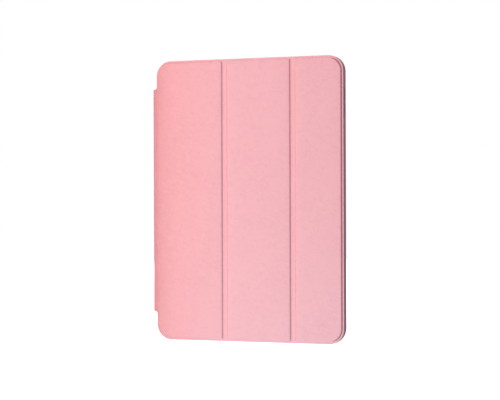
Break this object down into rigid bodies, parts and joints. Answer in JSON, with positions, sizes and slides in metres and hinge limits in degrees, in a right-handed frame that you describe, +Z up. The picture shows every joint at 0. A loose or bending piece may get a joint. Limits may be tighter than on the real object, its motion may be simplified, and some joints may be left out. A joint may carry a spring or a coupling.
{
  "type": "folding tablet case",
  "caption": "Leather folio case for a 10.2 inch tablet: a lined tray shell, a hinged spine and a front cover that folds along creases into a stand.",
  "frame": {"origin": "middle of the case's box at the bottom edge that it stands on", "axes": "+Z up along the case's long side, -Y towards the front cover, -X towards the spine"},
  "size_m": [0.182, 0.0126, 0.2549],
  "materials": {
    "outer_leather": "pale pink pebbled leather, satin",
    "key_leather": "pink leather pressed smooth over a moulded key",
    "shell_plastic": "moulded pink plastic with a fine spark texture",
    "microfibre": "brushed microfibre, greyish pink",
    "stiff_board": "grey fibreboard",
    "plated_magnet": "nickel-plated magnet",
    "spring_steel": "plain steel strip"
  },
  "bodies": {
    "shell": {"back_shell": "shell_plastic", "back_skin": "outer_leather", "back_lining": "microfibre", "spine_back_fold": "outer_leather", "spine_back_lining": "microfibre"},
    "volume_up": {"volume_up_key": "key_leather"},
    "volume_down": {"volume_down_key": "key_leather"},
    "power": {"power_key": "key_leather"},
    "spine": {"spine_skin": "outer_leather", "spine_board": "stiff_board", "spine_lining": "microfibre", "spine_front_fold": "outer_leather", "spine_front_lining": "microfibre"},
    "cover_1": {"cover_skin_1": "outer_leather", "panel_board_1": "stiff_board", "cover_lining_1": "microfibre", "stand_plate": "spring_steel", "fold_skin_1": "outer_leather", "fold_lining_1": "microfibre"},
    "cover_2": {"cover_skin_2": "outer_leather", "panel_board_2": "stiff_board", "cover_lining_2": "microfibre", "fold_skin_2": "outer_leather", "fold_lining_2": "microfibre"},
    "cover_3": {"cover_skin_3": "outer_leather", "panel_board_3": "stiff_board", "cover_lining_3": "microfibre", "closing_magnets": "plated_magnet", "sleep_magnet": "plated_magnet"}
  },
  "joints": [
    {"name": "spine_hinge", "type": "hinge", "parent": "shell", "child": "spine", "pos_m": [-0.08952, 0.005, 0.1274], "axis": [0, 0, -1], "range_deg": [0, 178], "deforming": ["spine_back_fold", "spine_back_lining"]},
    {"name": "cover_hinge", "type": "hinge", "parent": "spine", "child": "cover_1", "pos_m": [-0.08997, -0.00415, 0.1274], "axis": [0, 0, -1], "range_deg": [0, 178], "deforming": ["spine_front_fold", "spine_front_lining"]},
    {"name": "fold_1_hinge", "type": "hinge", "parent": "cover_1", "child": "cover_2", "pos_m": [-0.02098, -0.00515, 0.1274], "axis": [0, 0, 1], "range_deg": [-138, 0], "deforming": ["fold_skin_1", "fold_lining_1"]},
    {"name": "fold_2_hinge", "type": "hinge", "parent": "cover_2", "child": "cover_3", "pos_m": [0.04372, -0.00515, 0.1274], "axis": [0, 0, 1], "range_deg": [-108, 0], "deforming": ["fold_skin_2", "fold_lining_2"]},
    {"name": "volume_up_press", "type": "slide", "parent": "shell", "child": "volume_up", "axis": [-1, 0, 0], "range_m": [0, 0.0004], "stiffness_N_per_m": 800},
    {"name": "volume_down_press", "type": "slide", "parent": "shell", "child": "volume_down", "axis": [-1, 0, 0], "range_m": [0, 0.0004], "stiffness_N_per_m": 800},
    {"name": "power_press", "type": "slide", "parent": "shell", "child": "power", "axis": [0, 0, -1], "range_m": [0, 0.0004], "stiffness_N_per_m": 800}
  ]
}
